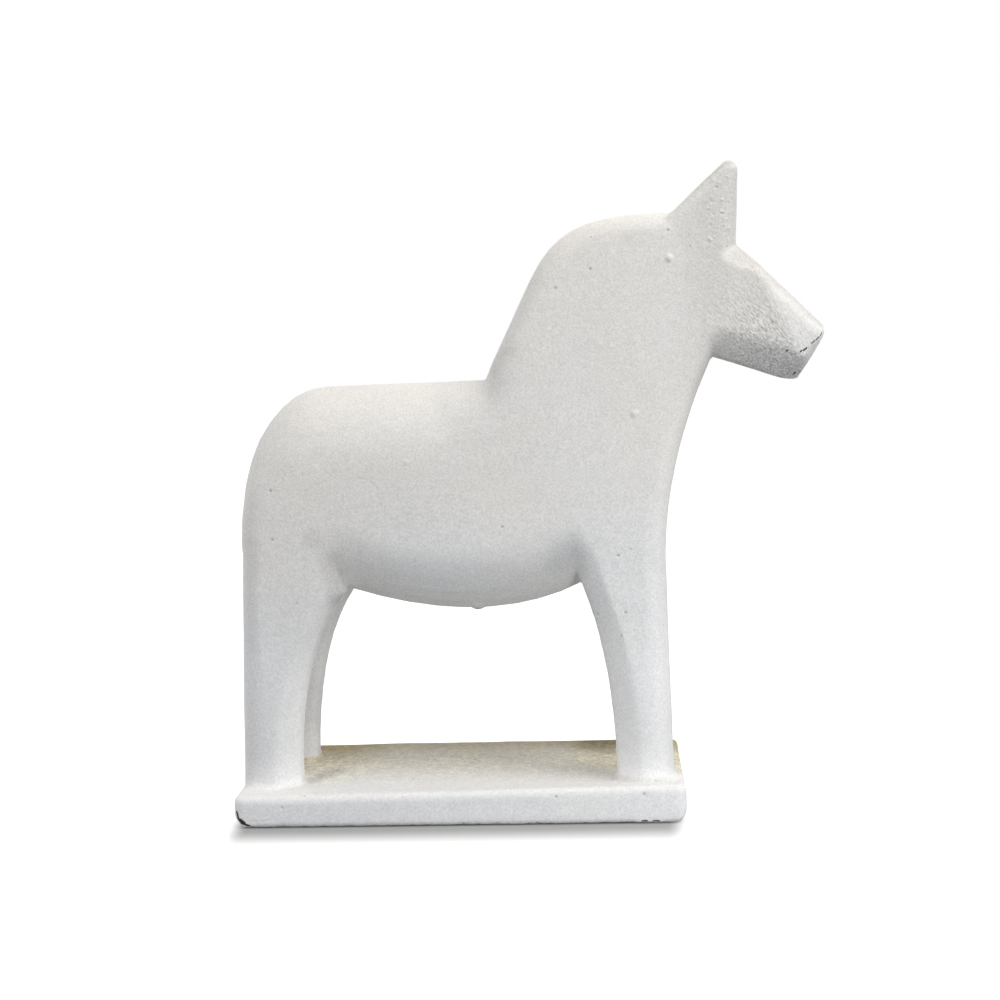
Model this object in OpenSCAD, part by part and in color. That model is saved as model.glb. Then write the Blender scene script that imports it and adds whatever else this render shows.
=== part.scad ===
// Cast concrete dala horse on a plinth, with the steel that holds its legs.
// Side view lies in the XZ plane, nose towards +X, underside of the plinth at Z = 0.

/* [Plinth] */
// Thickness of the plinth
plinth_h = 14; // [11:0.5:24]
// How far the plinth runs past the heels
heel_margin = 0.5; // [0.5:0.5:20]
// How far the plinth runs past the toes
toe_margin = 4.5; // [1:0.5:20]
// How far the plinth runs past the outer side of each foot
side_margin = 13; // [4:0.5:25]
// Radius of the upright corners of the plinth
plinth_corner_r = 4; // [3:0.5:12]
// Rounding along the top edge of the plinth
plinth_edge_r = 2.5; // [0.5:0.5:3]

/* [Legs] */
// Length of the stance, from the heels to the toes
stance_l = 192.5; // [170:0.5:215]
// Width over the outer sides of the feet
foot_track = 60; // [54:1:72]
// Thickness of a leg, outer side to inner side
leg_t = 18; // [15:0.5:21]
// Length of a rear foot
rear_foot_l = 26.5; // [20:0.5:32]
// Length of a front foot
front_foot_l = 25; // [20:0.5:32]
// Height of the leg arch at the legs, above the plinth
crotch_h = 86; // [72:0.5:95]
// Distance from the heels to the rear end of the belly
rear_crotch_x = 50.5; // [38:0.5:54]
// Distance from the toes to the front end of the belly
front_crotch_x = 37.5; // [32:0.5:46]
// How far the rump stands in front of the heels
heel_rake = 4.5; // [0:0.5:8]
// How far the chest stands behind the toes
toe_rake = 1.2; // [0:0.1:3]
// Width of the carved bevel on the arch side of each leg
leg_bevel_w = 11; // [6:0.5:14]
// Depth of the carved bevel on the arch side of each leg
leg_bevel_d = 8; // [4:0.5:10]
// How far the arch side of a rear leg leans back beside the belly
rear_arch_lean = 5; // [0:0.5:12]
// How far the arch side of a front leg leans back beside the belly
front_arch_lean = 10; // [0:0.5:12]
// Rounding along the inner edges of each leg
leg_inner_r = 4; // [1:0.5:6]
// How far the legs stand proud of the body
leg_proud = 0.3; // [0.2:0.1:0.5]
// Fillet between a foot and the plinth
foot_fillet = 1.2; // [1:0.1:4]

/* [Body] */
// Width of the body
body_w = 64; // [58:1:76]
// Height of the back above the plinth
back_h = 176.5; // [160:0.5:195]
// Length of the rump's curve
rump_l = 37.5; // [28:0.5:46]
// Height of the rump's curve
rump_drop = 60; // [45:1:70]
// Height of the rump's upright face, below its curve
rump_face_h = 18; // [10:1:26]
// Rounding of the rump's upright edges
rump_round = 11; // [5:0.5:15]
// Distance from the rump to the withers
back_l = 110.5; // [92:0.5:118]
// Width of the flat along the back
back_flat_w = 7; // [4:0.5:16]
// Height over which the back rounds into the flank
back_round_h = 34; // [20:1:40]
// Height of the belly's lowest line above the plinth
belly_h = 75.5; // [62:0.5:80]
// How far the belly's lowest line lies in front of the middle of the arch
belly_lead = 5; // [0:0.5:12]
// Height of the rounding under the belly
belly_round_h = 29; // [18:1:34]
// Width of the flat under the belly
belly_flat_w = 20; // [12:1:28]

/* [Neck] */
// Lean of the back of the neck, in degrees from level
neck_lean = 63.5; // [56:0.5:70]
// Length of the straight part of the back of the neck
neck_straight = 48; // [38:1:58]
// Height of the crest above the plinth
crest_h = 245.5; // [236:0.5:260]
// How far the middle of the crest is pulled up above its ends
crest_swell = 1; // [0:0.5:3]
// Width of the neck at the crest
crest_w = 40; // [34:1:50]
// Height of the shoulder above the plinth, where the neck starts to taper
shoulder_h = 112; // [100:1:130]
// How far the poll stands in front of the toes
poll_reach = 6; // [0:0.5:12]
// How far the throat stands in front of the toes
throat_reach = 21; // [17:0.5:26]
// Height of the throat above the plinth
throat_h = 184; // [174:1:192]
// Height of the chest above the plinth, where the neck starts to lean forward
chest_h = 91.5; // [84:0.5:100]
// Rounding along the chest and the front of the neck
chest_round = 11; // [5:0.5:15]
// Rounding along the crest and the back of the neck
crest_round = 9; // [4:0.5:12]

/* [Head] */
// Distance from the poll to the brow, along X
brow_reach = 28; // [24:0.5:32]
// Drop from the poll to the brow
brow_drop = 15.5; // [11:0.5:19]
// Length of the face, from the brow to the top of the muzzle
face_l = 52; // [44:0.5:62]
// Slope of the face, in degrees below level
face_slope = 44.5; // [36:0.5:50]
// Height of the flat end of the muzzle
muzzle_h = 26.5; // [18:0.5:30]
// How far the end of the muzzle leans back, in degrees from upright
muzzle_lean = 30; // [20:1:38]
// Width of the muzzle
muzzle_w = 26; // [20:0.5:34]
// Bevel round the rim of the muzzle, at its upper end
muzzle_rim = 1.5; // [0.5:0.1:2.5]
// Bevel round the rim of the muzzle, at its lower end
muzzle_low_rim = 6; // [2:0.5:7]
// Height of the bevel under the jaw
jaw_bevel_h = 13; // [6:0.5:13]
// Depth of the bevel under the jaw
jaw_bevel_d = 8; // [4:0.5:9]
// Rounding along the upper edges of the face
face_round = 5; // [2:0.5:7]
// Height of the carved facet beside the brow
brow_facet_h = 8.5; // [4:0.5:9]
// Depth of the carved facet beside the brow
brow_facet_d = 9.5; // [4:0.5:10]

/* [Ears] */
// Height of the ear tips above the crest
ear_rise = 21; // [12:0.5:32]
// Distance from the poll to the ear tips, along X
ear_reach = 24; // [18:0.5:27]
// Radius of the ear tips
ear_tip_r = 4; // [2.5:0.5:5]
// Thickness of an ear at its root
ear_root_t = 12; // [8:0.5:14]
// Rounding of the ear's edges at its root
ear_edge_r = 2.5; // [1:0.5:3.5]
// Distance from the front of an ear's root to the brow
ear_set_back = 4; // [3:0.5:6]
// How far the rear of an ear's root stands behind the poll
ear_root_back = 1; // [0:0.5:3]
// How far the outer side of an ear runs down into the head
ear_sink = 6; // [4:0.5:9]
// Width of the carved facet on the front of an ear, at its root
ear_facet_w = 6; // [2:0.5:8]
// How far an ear's tip leans in from its root
ear_lean = 2; // [0:0.5:4]

/* [Vent stub] */
// Length of the vent stub under the belly
stub_l = 6; // [4:0.5:10]
// Width of the vent stub
stub_w = 3; // [2:0.5:5]
// How far the vent stub stands out of the belly
stub_h = 1.1; // [0.5:0.1:2]

/* [Reinforcement] */
// Diameter of the leg rods
rod_d = 5; // [3:0.5:6]
// How far a leg rod reaches above the leg arch
rod_anchor = 26; // [15:1:40]
// Distance of the rod ends from the underside of the plinth
rod_recess = 1; // [0.5:0.5:2]
// Diameter of the plinth bars
bar_d = 5; // [3:0.5:6]
// Distance of the bar ends from the ends of the plinth
bar_cover = 9; // [4:0.5:11]
// Diameter of the tie wire
wire_d = 1.2; // [0.8:0.1:1.6]
// Film between steel and concrete
bond_gap = 0.15; // [0.1:0.05:0.25]
// Gap between steel pieces that lie on each other
touch_gap = 0.05; // [0.02:0.01:0.08]

/* [Hidden] */

// Stance and plinth
plinth_l = heel_margin + stance_l + toe_margin;
plinth_w = foot_track + 2 * side_margin;
heel_x = heel_margin - plinth_l / 2;
toe_x = plinth_l / 2 - toe_margin;
rump_x = heel_x + heel_rake;
foot_hw = foot_track / 2;

// Heights
crotch_z = plinth_h + crotch_h;
back_z = plinth_h + back_h;
crest_z = plinth_h + crest_h;
shoulder_z = plinth_h + shoulder_h;
belly_z = plinth_h + belly_h;

// Points of the side view, as [x, z]
rear_crotch = [heel_x + rear_crotch_x, crotch_z];
front_crotch = [toe_x - front_crotch_x, crotch_z];
belly_pull = [(rear_crotch.x + front_crotch.x) / 2 + 2 * belly_lead, 2 * belly_z - crotch_z];
rump_low = [rump_x, back_z - rump_drop - rump_face_h];
rump_top = [rump_x + rump_l, back_z];
withers = [rump_x + back_l, back_z];
neck_way = [cos(neck_lean), sin(neck_lean)];
neck_top = withers + neck_straight * neck_way;
neck_knee = neck_top + (crest_z - neck_top[1]) * neck_way;
poll = [toe_x + poll_reach, crest_z];
chest = [toe_x - toe_rake, plinth_h + chest_h];
throat = [toe_x + throat_reach, plinth_h + throat_h];
chest_pull = [chest.x, (chest[1] + throat[1]) / 2];
brow = poll + [brow_reach, -brow_drop];
muzzle_top = brow + face_l * [cos(face_slope), -sin(face_slope)];
muzzle_bottom = muzzle_top - muzzle_h * [sin(muzzle_lean), cos(muzzle_lean)];
ear_tip = poll + [ear_reach, ear_rise - ear_tip_r];
ear_side = body_w / 2 - (body_w - crest_w) / 2;

// Steel
rod_y = foot_hw - leg_t / 2;
rear_rod_x = heel_x + rear_foot_l / 2;
front_rod_x = toe_x - front_foot_l / 2;
bar_y = rod_y - (rod_d + bar_d) / 2 - touch_gap;
bar_z = plinth_h / 2;
bar_l = plinth_l - 2 * bar_cover;
tie_span = rod_y - bar_y;
tie_bend_r = (max(rod_d, bar_d) * sqrt(2) + wire_d) / 2 + touch_gap;

// Stations along each stretch of the body
rump_steps = 9;
back_steps = 9;
shoulder_steps = 3;
neck_steps = 5;
crest_steps = 9;
brow_steps = 3;
face_steps = 5;
leg_steps = 10;

// Angle between two points of a rounded edge
edge_step = 15;
leg_edge_step = 22.5;

// Shape of an edge: 2 is a true round, 1 a straight bevel
round_power = 2;
soft_power = 1.6;
bevel_power = 1.2;

// Share of the neck's straight back that belongs to the shoulder
shoulder_share = 0.2;
// Share of the neck's front edge below the end of its straight back
neck_share = 0.5;
// Share of the jaw that belongs to the brow
brow_share = 0.06;
// How far the back's rounding has turned into the crest's at the withers
withers_blend = 0.6;
// Share of the back that keeps its full rounding
back_share = 2 / 3;
// Where the crest is pulled up, as a share of its length
crest_pull = 0.3;
// Where a leg's arch edge bends, as a share of the arch's height
rear_bend = 0.68;
front_bend = 0.6;
// What is left of a leg's bevel at the top of the arch, as a share of its size at the foot
rear_bevel_top = 0.6;
front_bevel_top = 1;

// A leg keeps its full width over the belly's rounding and ends at this share of it,
// drawn in under the flank by the tuck
leg_end = 1.3;
leg_tuck = 5;

// How far two parts of the casting run into each other
overlap = 2;

// Sides of round steel, and of its bed in the concrete
steel_sides = 32;
bed_sides = 16;
wire_bed_sides = 8;
bend_sides = 24;

// Sides of the casting's small round parts
post_sides = 28;
ear_root_sides = 16;
ear_tip_sides = 24;
stub_sides = 20;

// Point or value between a and b
function mix(a, b, t) = a + (b - a) * t;

// Value held between two limits
function clamp(v, low, high) = max(low, min(high, v));

// The same list from its end to its start
function reversed(list) = [for (i = [len(list) - 1:-1:0]) list[i]];

// Quadratic and cubic curves through their end points
function curve2(a, b, c, t) = mix(mix(a, b, t), mix(b, c, t), t);
function curve3(a, b, c, d, t) = mix(curve2(a, b, c, t), curve2(b, c, d, t), t);

// Quarter of a rounded edge as [distance from the edge, depth cut off], from the edge inwards
function edge_round(reach, depth, power, step = edge_step) = [
  for (a = [0:step:90])
    [reach * (1 - pow(cos(a), 2 / power)), depth * (1 - pow(sin(a), 2 / power))]
];

// Half width of the flanks at height z: feet, body, then the neck's taper
function flank(z) =
  let (
    low = clamp((crotch_z - z) / crotch_h, 0, 1),
    high = clamp((z - shoulder_z) / (crest_z - shoulder_z), 0, 1)
  )
  body_w / 2 - (body_w / 2 - foot_hw) * low * low - (body_w - crest_w) / 2 * high * high;

// What the rump's upright edges take off the flank at x
function rump_cut(x) =
  let (t = clamp((x - rump_x) / rump_round, 0, 1))
  rump_round * (1 - sqrt(1 - (1 - t) * (1 - t)));

// Front edge of the neck from the chest to the throat
function neck_front(t) = curve2(chest, chest_pull, throat, t);

// Closed ring of the body between an upper point and a lower point of the side view.
// upper and lower are [reach, depth, power] of the edges, narrow is the share of the muzzle's width
function body_ring(top, bottom, upper, lower, narrow) =
  let (
    length = norm(bottom - top),
    along = (bottom - top) / length,
    reach_top = min(upper[0], length / 2),
    reach_low = min(lower[0], 0.9 * length / 2),
    middle = [for (s = [1/3, 2/3]) [mix(reach_top, length - reach_low, s), 0]],
    high = edge_round(reach_top, upper[1], upper[2]),
    low = [for (e = edge_round(reach_low, lower[1], lower[2])) [length - e[0], e[1]]],
    side = [
      for (h = concat(high, middle, reversed(low)))
        let (p = top + along * h[0], w = flank(p[1]) - rump_cut(p[0]))
        [p[0], mix(w, muzzle_w / 2, narrow) - h[1], p[1]]
    ]
  )
  concat(side, [for (p = reversed(side)) [p.x, -p.y, p.z]]);

// Edges of the body, as [reach, depth, power]
belly_edge = [belly_round_h, (body_w - belly_flat_w) / 2, soft_power];
back_edge = [back_round_h, (body_w - back_flat_w) / 2, round_power];
rump_edge = [back_round_h, (body_w - back_flat_w) / 2 - rump_round, round_power];
chest_edge = [chest_round, chest_round, round_power];
crest_edge = [crest_round, crest_round, round_power];
withers_edge = mix(back_edge, crest_edge, withers_blend);
face_edge = [face_round, face_round, soft_power];
brow_edge = [brow_facet_h, brow_facet_d, bevel_power];
jaw_edge = [jaw_bevel_h, jaw_bevel_d, bevel_power];

// Rump: a quarter of an ellipse from its rear face to the back
rump_rings = [
  for (i = [0:rump_steps])
    let (
      t = i / rump_steps,
      top = rump_top - [rump_l * cos(90 * t), rump_drop * (1 - sin(90 * t))]
    )
    body_ring(
      top, mix(rump_low, rear_crotch, t), mix(rump_edge, back_edge, t), mix(chest_edge, belly_edge, t), 0
    )
];

// Back over the belly
back_rings = [
  for (i = [1:back_steps])
    let (
      t = i / back_steps,
      low = curve2(rear_crotch, belly_pull, front_crotch, t),
      upper = mix(back_edge, withers_edge, clamp((t - back_share) / (1 - back_share), 0, 1))
    )
    body_ring(mix(rump_top, withers, t), low, upper, belly_edge, 0)
];

// Shoulder: the sections fan out from the withers to the chest
shoulder_rings = [
  for (i = [1:shoulder_steps])
    let (t = i / shoulder_steps)
    body_ring(
      mix(withers, neck_top, shoulder_share * t), mix(front_crotch, chest, t),
      mix(withers_edge, crest_edge, t), mix(belly_edge, chest_edge, t), 0
    )
];

// Neck, up to the end of its straight back
neck_rings = [
  for (i = [1:neck_steps])
    let (t = i / neck_steps, top = mix(withers, neck_top, mix(shoulder_share, 1, t)))
    body_ring(top, neck_front(neck_share * t), crest_edge, chest_edge, 0)
];

// Crest, from the straight back of the neck to the poll
crest_rings = [
  for (i = [1:crest_steps])
    let (
      t = i / crest_steps,
      swell = [mix(neck_knee.x, poll.x, crest_pull), crest_z + crest_swell],
      top = curve3(neck_top, neck_knee, swell, poll, t)
    )
    body_ring(top, neck_front(mix(neck_share, 1, t)), crest_edge, chest_edge, 0)
];

// Head from the poll to the brow, fanned out from the throat
brow_rings = [
  for (i = [1:brow_steps])
    let (t = i / brow_steps)
    body_ring(
      mix(poll, brow, t), mix(throat, muzzle_bottom, brow_share * t), mix(crest_edge, brow_edge, t),
      mix(chest_edge, jaw_edge, t), 0
    )
];

// Face from the brow to the rim of the muzzle
jaw_l = norm(muzzle_bottom - throat);
face_rings = [
  for (i = [1:face_steps])
    let (
      t = i / face_steps * (1 - muzzle_rim / face_l),
      u = i / face_steps * (1 - muzzle_low_rim / jaw_l),
      low = mix(throat, muzzle_bottom, mix(brow_share, 1, u))
    )
    body_ring(mix(brow, muzzle_top, t), low, face_edge, jaw_edge, t)
];

// Flat end of the muzzle, inside its bevelled rim
muzzle_inset = muzzle_rim * (muzzle_bottom - muzzle_top) / muzzle_h;
muzzle_ring = [
  for (p = body_ring(muzzle_top + muzzle_inset, muzzle_bottom - muzzle_inset, face_edge, jaw_edge, 1))
    let (
      drop = clamp((muzzle_top[1] - p.z) / (muzzle_top[1] - muzzle_bottom[1]), 0, 1),
      rim = mix(muzzle_rim, muzzle_low_rim, drop)
    )
    [p.x, p.y * (1 - 2 * rim / muzzle_w), p.z]
];

// Solid through a list of rings with the same number of points
module loft(rings) {
  n = len(rings[0]);
  m = len(rings);
  walls = [
    for (i = [0:m - 2], j = [0:n - 1])
      let (a = i * n + j, b = i * n + (j + 1) % n)
      each [[a, b, b + n], [a, b + n, a + n]]
  ];
  first = [for (j = [n - 1:-1:0]) j];
  last = [for (j = [0:n - 1]) (m - 1) * n + j];
  polyhedron([for (r = rings) each r], concat([first], walls, [last]), convexity = 8);
}

// Trunk, neck and head, from the rump to the muzzle
module body() {
  loft(concat(
    rump_rings, back_rings, shoulder_rings, neck_rings, crest_rings, brow_rings, face_rings, [muzzle_ring]
  ));
}

// Section of a leg at height z as [x, y] points, with its arch side at xa and its end side at xe.
// bevel is the share of its bevel's full size, grow widens it all round but at its end,
// tuck draws its outer side and its end in
function leg_section(z, xa, xe, bevel, grow, tuck) =
  let (
    way = sign(xe - xa),
    outer = flank(z) + leg_proud + grow - tuck,
    inner = foot_hw - leg_t - grow,
    shut = xe + way * (leg_proud - tuck),
    arch = edge_round(bevel * leg_bevel_w, bevel * leg_bevel_d, bevel_power, leg_edge_step),
    end = edge_round(chest_round, chest_round, round_power, leg_edge_step),
    inside = edge_round(leg_inner_r, leg_inner_r, round_power, leg_edge_step)
  )
  concat(
    [for (e = arch) [xa + way * (e[0] - grow), outer - e[1]]],
    [for (e = reversed(end)) [shut - way * e[0], outer - e[1]]],
    [for (e = inside) [shut - way * e[0], inner + e[1]]],
    [for (e = reversed(inside)) [xa + way * (e[0] - grow), inner + e[1]]]
  );

// One leg on the +Y side. arch_top and foot_arch are its arch edge at the belly and at the plinth,
// bend_share where that edge bends, lean how far it leans back over the height of the belly's rounding,
// bevel_top the share of its bevel at the belly,
// end_top and end_foot the X of its end edge at the belly and at the plinth
module leg(arch_top, foot_arch, bend_share, lean, bevel_top, end_top, end_foot) {
  bend = [foot_arch.x, mix(plinth_h, crotch_z, bend_share)];
  rise = [-lean, belly_round_h];
  edge = concat(
    [[arch_top + leg_end * rise, leg_tuck], [arch_top + rise, 0]],
    [for (i = [0:leg_steps]) [curve2(arch_top, bend, foot_arch, i / leg_steps), 0]],
    [[foot_arch - [0, overlap], 0]]
  );
  rings = [
    for (e = edge)
      let (
        p = e[0],
        high = (p[1] - plinth_h) / crotch_h,
        end_x = mix(end_foot, end_top, high),
        bevel = mix(1, bevel_top, clamp(high, 0, 1))
      )
      [for (q = leg_section(p[1], p[0], end_x, bevel, 0, e[1])) [q.x, q.y, p[1]]]
  ];
  loft(end_foot < foot_arch.x ? rings : [for (r = rings) reversed(r)]);
  flare_end = end_foot + sign(foot_arch.x - end_foot) * overlap / 2;
  hull() {
    translate([0, 0, plinth_h - overlap])
      linear_extrude(overlap)
        polygon(leg_section(plinth_h, foot_arch.x, flare_end, 1, foot_fillet, 0));
    translate([0, 0, plinth_h + foot_fillet])
      linear_extrude(overlap / 2)
        polygon(leg_section(plinth_h, foot_arch.x, flare_end, 1, -overlap / 2, overlap / 2));
  }
}

// Rear leg and front leg of one side
module side_legs() {
  leg(
    rear_crotch, [heel_x + rear_foot_l, plinth_h], rear_bend, rear_arch_lean, rear_bevel_top,
    rump_x, heel_x
  );
  leg(
    front_crotch, [toe_x - front_foot_l, plinth_h], front_bend, front_arch_lean, front_bevel_top,
    toe_x - toe_rake, toe_x
  );
}

// One ear on the +Y side: flush with the head outside, with a facet in front
module ear() {
  rear = poll - [ear_root_back, 1.5 * ear_edge_r];
  front = brow - [ear_set_back, ear_edge_r];
  inner = ear_side - ear_root_t + ear_edge_r;
  outer = ear_side - ear_edge_r;
  root = [
    [rear[0], inner, rear[1]],
    [rear[0], outer, rear[1]],
    [front[0], inner, front[1]],
    [front[0], outer - ear_facet_w / 2, front[1]],
    for (p = [rear + [ear_edge_r, -ear_sink], front - [ear_facet_w, ear_sink]])
      [p[0], flank(p[1]) - ear_edge_r, p[1]]
  ];
  hull() {
    for (p = root) translate(p) sphere(ear_edge_r, $fn = ear_root_sides);
    translate([ear_tip[0], ear_side - ear_lean - ear_tip_r, ear_tip[1]])
      sphere(ear_tip_r, $fn = ear_tip_sides);
  }
}

// Corner post of the plinth with a rounded top edge
module plinth_post() {
  flat = plinth_corner_r - plinth_edge_r;
  rotate_extrude($fn = post_sides)
    polygon(concat(
      [[0, 0], [plinth_corner_r, 0]],
      [for (a = [0:edge_step:90]) [flat + plinth_edge_r * cos(a), plinth_h - plinth_edge_r * (1 - sin(a))]],
      [[0, plinth_h]]
    ));
}

// Plinth slab
module plinth() {
  px = plinth_l / 2 - plinth_corner_r;
  py = plinth_w / 2 - plinth_corner_r;
  hull() for (x = [-px, px], y = [-py, py]) translate([x, y, 0]) plinth_post();
}

// Stub of the casting vent under the belly
module vent_stub() {
  lowest = curve2(rear_crotch, belly_pull, front_crotch, 1 / 2);
  hull() for (x = [-1, 1])
    translate([lowest[0] + x * (stub_l - stub_w) / 2, 0, lowest[1] - stub_h])
      cylinder(d = stub_w, h = stub_h + overlap, $fn = stub_sides);
}

// Leg rod, grown by the given film
module leg_rod(x, y, film) {
  start = film > 0 ? -overlap : rod_recess;
  translate([x, y, start])
    cylinder(
      d = rod_d + 2 * film, h = crotch_z + rod_anchor + film - start,
      $fn = film > 0 ? bed_sides : steel_sides
    );
}

// Plinth bar beside the rods of one side, grown by the given film
module plinth_bar(y, film) {
  translate([-bar_l / 2 - film, y, bar_z])
    rotate([0, 90, 0])
      cylinder(
        d = bar_d + 2 * film, h = bar_l + 2 * film,
        $fn = film > 0 ? bed_sides : steel_sides
      );
}

// Loop of wire round a rod and a bar of the +Y side, laid across the corner between them
module tie(x, film) {
  d = wire_d + 2 * film;
  sides = film > 0 ? wire_bed_sides : steel_sides;
  translate([x, bar_y, bar_z]) rotate([0, 45, 0]) {
    for (s = [-1, 1]) translate([s * tie_bend_r, 0, 0])
      rotate([-90, 0, 0]) cylinder(d = d, h = tie_span, $fn = sides);
    translate([0, tie_span, 0]) rotate_extrude(angle = 180, $fn = bend_sides)
      translate([tie_bend_r, 0]) circle(d = d, $fn = sides);
    rotate([0, 0, 180]) rotate_extrude(angle = 180, $fn = bend_sides)
      translate([tie_bend_r, 0]) circle(d = d, $fn = sides);
  }
}

// All loops of wire
module ties(film) {
  for (x = [rear_rod_x, front_rod_x], side = [0, 1]) mirror([0, side, 0]) tie(x, film);
}

// All steel, as the concrete closes round it
module steel_bed() {
  for (x = [rear_rod_x, front_rod_x], y = [-rod_y, rod_y]) leg_rod(x, y, bond_gap);
  for (y = [-bar_y, bar_y]) plinth_bar(y, bond_gap);
  ties(bond_gap);
}

// Horse and plinth, poured in one piece
module casting() color("whitesmoke") difference() {
  union() {
    plinth();
    body();
    vent_stub();
    for (side = [0, 1]) mirror([0, side, 0]) {
      side_legs();
      ear();
    }
  }
  steel_bed();
}

module front_left_leg_rod() color("slategray") leg_rod(front_rod_x, rod_y, 0);
module front_right_leg_rod() color("slategray") leg_rod(front_rod_x, -rod_y, 0);
module rear_left_leg_rod() color("slategray") leg_rod(rear_rod_x, rod_y, 0);
module rear_right_leg_rod() color("slategray") leg_rod(rear_rod_x, -rod_y, 0);
module left_plinth_bar() color("slategray") plinth_bar(bar_y, 0);
module right_plinth_bar() color("slategray") plinth_bar(-bar_y, 0);
module tie_wires() color("dimgray") ties(0);

casting();
front_left_leg_rod();
front_right_leg_rod();
rear_left_leg_rod();
rear_right_leg_rod();
left_plinth_bar();
right_plinth_bar();
tie_wires();
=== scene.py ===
"""Looks of a white-painted concrete dala horse on its plinth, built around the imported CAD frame."""

import logging
import math
import random
from collections.abc import Sequence
from dataclasses import dataclass, replace
from enum import Enum
from typing import Any

import bmesh
import bpy
from mathutils import Matrix, Vector, noise
from mathutils.bvhtree import BVHTree
from mathutils.kdtree import KDTree


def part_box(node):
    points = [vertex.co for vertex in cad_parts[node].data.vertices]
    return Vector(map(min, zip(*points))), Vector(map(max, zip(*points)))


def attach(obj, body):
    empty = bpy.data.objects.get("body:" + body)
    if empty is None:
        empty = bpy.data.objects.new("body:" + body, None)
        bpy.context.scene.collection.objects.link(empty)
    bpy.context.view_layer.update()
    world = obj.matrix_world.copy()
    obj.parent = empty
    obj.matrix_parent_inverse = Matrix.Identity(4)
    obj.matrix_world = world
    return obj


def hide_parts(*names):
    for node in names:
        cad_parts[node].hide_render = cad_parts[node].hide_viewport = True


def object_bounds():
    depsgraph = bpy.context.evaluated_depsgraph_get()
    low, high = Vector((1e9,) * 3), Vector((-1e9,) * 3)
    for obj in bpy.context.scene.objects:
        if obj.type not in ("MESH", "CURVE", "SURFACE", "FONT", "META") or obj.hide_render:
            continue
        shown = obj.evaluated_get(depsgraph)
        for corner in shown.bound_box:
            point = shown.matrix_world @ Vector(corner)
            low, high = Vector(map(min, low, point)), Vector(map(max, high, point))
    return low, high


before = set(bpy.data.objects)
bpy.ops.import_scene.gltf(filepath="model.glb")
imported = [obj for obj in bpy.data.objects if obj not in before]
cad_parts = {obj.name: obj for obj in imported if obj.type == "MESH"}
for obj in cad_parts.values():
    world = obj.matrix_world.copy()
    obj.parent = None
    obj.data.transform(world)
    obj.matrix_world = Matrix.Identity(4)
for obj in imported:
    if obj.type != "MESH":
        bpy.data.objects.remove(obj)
CAD_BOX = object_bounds()

LOG = logging.getLogger("dala_horse")
MM = 0.001
BARE = "bare_concrete"
MARK_SHADE = "pit_shade"
LEG_RODS = ("front_left_leg_rod", "front_right_leg_rod", "rear_left_leg_rod", "rear_right_leg_rod")
PLINTH_BARS = ("left_plinth_bar", "right_plinth_bar")
TIE_WIRES = "tie_wires"

Colour = tuple[float, float, float, float]
Point = tuple[float, float, float]
Span = tuple[float, float]
Shape = bmesh.types.BMesh

WHOLE: Span = (0.0, 1.0)


def smoothstep(span: Span, value: float) -> float:
    """Eases from 0 at the start of a span to 1 at its end.

    Args:
        span: Start and end, where the end may lie below the start.
        value: Value to ease.

    Returns:
        The eased share, from 0 to 1.
    """
    start, end = span
    share = min(1.0, max(0.0, (value - start) / (end - start)))
    return share * share * (3 - 2 * share)


class MarkKind(Enum):
    """Kinds of small casting and paint faults, and patches of painted shade."""

    PIT = "pit"
    BLISTER = "blister"
    CHIP = "chip"
    PAINTED_SHADE = "dirt_and_shadow"


class SteelStock(Enum):
    """Kinds of steel in the casting, by the record's slot."""

    ROD = "rod_steel"
    WIRE = "tie_wire"


class Tone:
    """A shader socket that takes part in Python expressions."""

    def __init__(self, sheet: "NodeSheet", socket: bpy.types.NodeSocket | None) -> None:
        """Holds an output socket of a node on the given sheet."""
        self.sheet = sheet
        self.socket = socket

    def output(self, name: str) -> "Tone":
        """Another output of the same node."""
        return Tone(self.sheet, self.socket.node.outputs[name])

    def _maths(self, operation: str, first: "Tone | float", second: "Tone | float") -> "Tone":
        """Adds a Math node for an operation on two values."""
        return self.sheet.node("ShaderNodeMath", {"operation": operation}, {0: first, 1: second})

    def __add__(self, other: "Tone | float") -> "Tone":
        """Sum."""
        return self._maths("ADD", self, other)

    def __radd__(self, other: float) -> "Tone":
        """Sum with a number on the left."""
        return self._maths("ADD", other, self)

    def __sub__(self, other: "Tone | float") -> "Tone":
        """Difference."""
        return self._maths("SUBTRACT", self, other)

    def __rsub__(self, other: float) -> "Tone":
        """Difference from a number."""
        return self._maths("SUBTRACT", other, self)

    def __mul__(self, other: "Tone | float") -> "Tone":
        """Product."""
        return self._maths("MULTIPLY", self, other)

    def __rmul__(self, other: float) -> "Tone":
        """Product with a number on the left."""
        return self._maths("MULTIPLY", other, self)

    def __pow__(self, other: float) -> "Tone":
        """Power."""
        return self._maths("POWER", self, other)

    def __or__(self, other: "Tone | float") -> "Tone":
        """Larger of two masks."""
        return self._maths("MAXIMUM", self, other)

    def __ror__(self, other: float) -> "Tone":
        """Larger of a number and a mask."""
        return self._maths("MAXIMUM", other, self)

    def __abs__(self) -> "Tone":
        """Distance from 0."""
        return self._maths("ABSOLUTE", self, 0.0)

    def eased(self, span: Span) -> "Tone":
        """Share from 0 at the start of a span to 1 at its end, eased at both ends."""
        sockets = {0: self, 1: span[0], 2: span[1]}
        return self.sheet.node("ShaderNodeMapRange", {"interpolation_type": "SMOOTHSTEP"}, sockets)


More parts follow.
